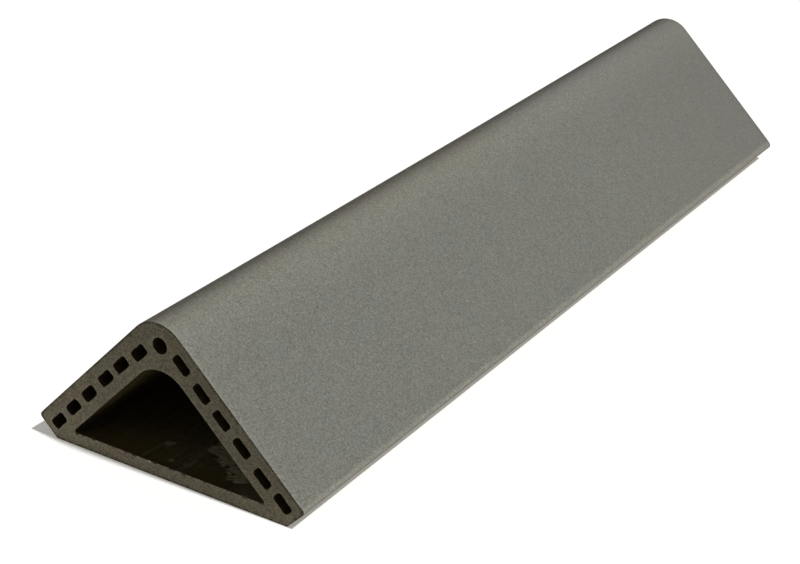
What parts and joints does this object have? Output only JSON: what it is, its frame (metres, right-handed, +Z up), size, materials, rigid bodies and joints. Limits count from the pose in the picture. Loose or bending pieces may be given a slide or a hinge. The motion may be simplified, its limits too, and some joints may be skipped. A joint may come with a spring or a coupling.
{
  "type": "corner clay brick",
  "caption": "Long extruded clay corner brick: right-angled cored legs, a rounded ridge, a round core and an open triangular void.",
  "frame": {"origin": "centre of the back face that the brick lies on", "axes": "+Z up through the ridge, +Y along the brick, away from the end that the picture shows, +X towards the right leg"},
  "size_m": [0.1818, 0.6, 0.0956],
  "materials": {
    "fired_clay": "matte unglazed, sandy grey-olive, fine grain"
  },
  "bodies": {
    "root": {"corner_brick": "fired_clay"}
  },
  "joints": []
}
